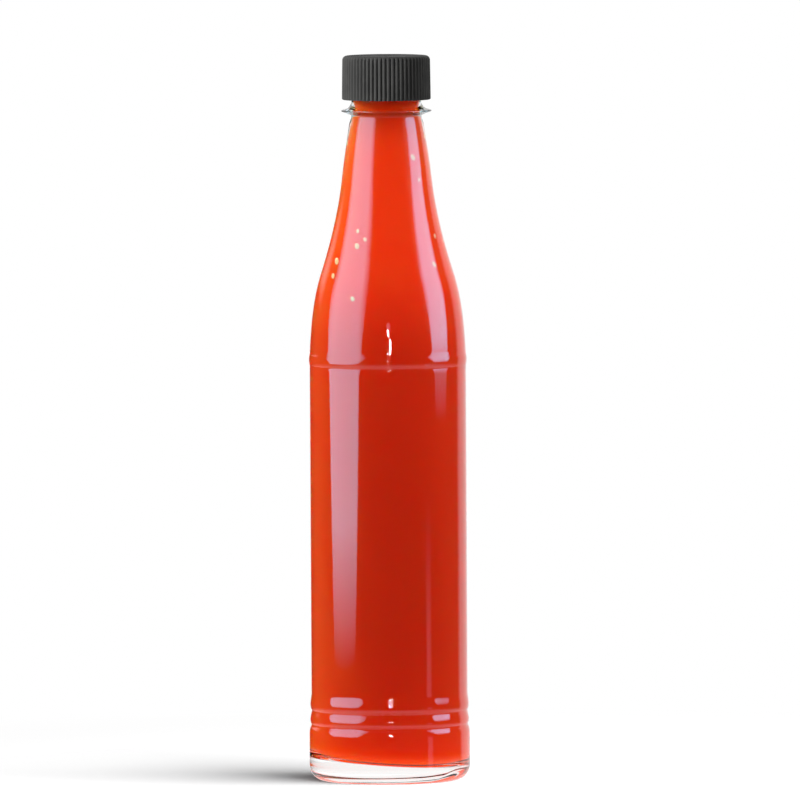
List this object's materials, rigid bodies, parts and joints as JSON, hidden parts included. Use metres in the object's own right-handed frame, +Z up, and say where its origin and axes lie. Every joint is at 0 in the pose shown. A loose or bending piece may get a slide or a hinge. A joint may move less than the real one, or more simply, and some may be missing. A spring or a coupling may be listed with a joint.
{
  "type": "woozy bottle",
  "caption": "Slim round glass bottle of smooth red chilli sauce, with a swept neck, low rings above a clear heavy base and a ribbed black screw cap.",
  "frame": {"origin": "centre of the base, on the plane that the bottle stands on", "axes": "+Z up along the bottle's axis to the cap; -Y towards the front; the inner floor is deeper on the +X side"},
  "size_m": [0.0452, 0.0452, 0.2041],
  "materials": {
    "glass": "clear fire-polished flint glass",
    "sauce": "smooth opaque red chilli puree",
    "cap": "matt black moulded polypropylene"
  },
  "bodies": {
    "root": {"bottle": "glass", "sauce": "sauce", "cap": "cap"}
  },
  "joints": []
}
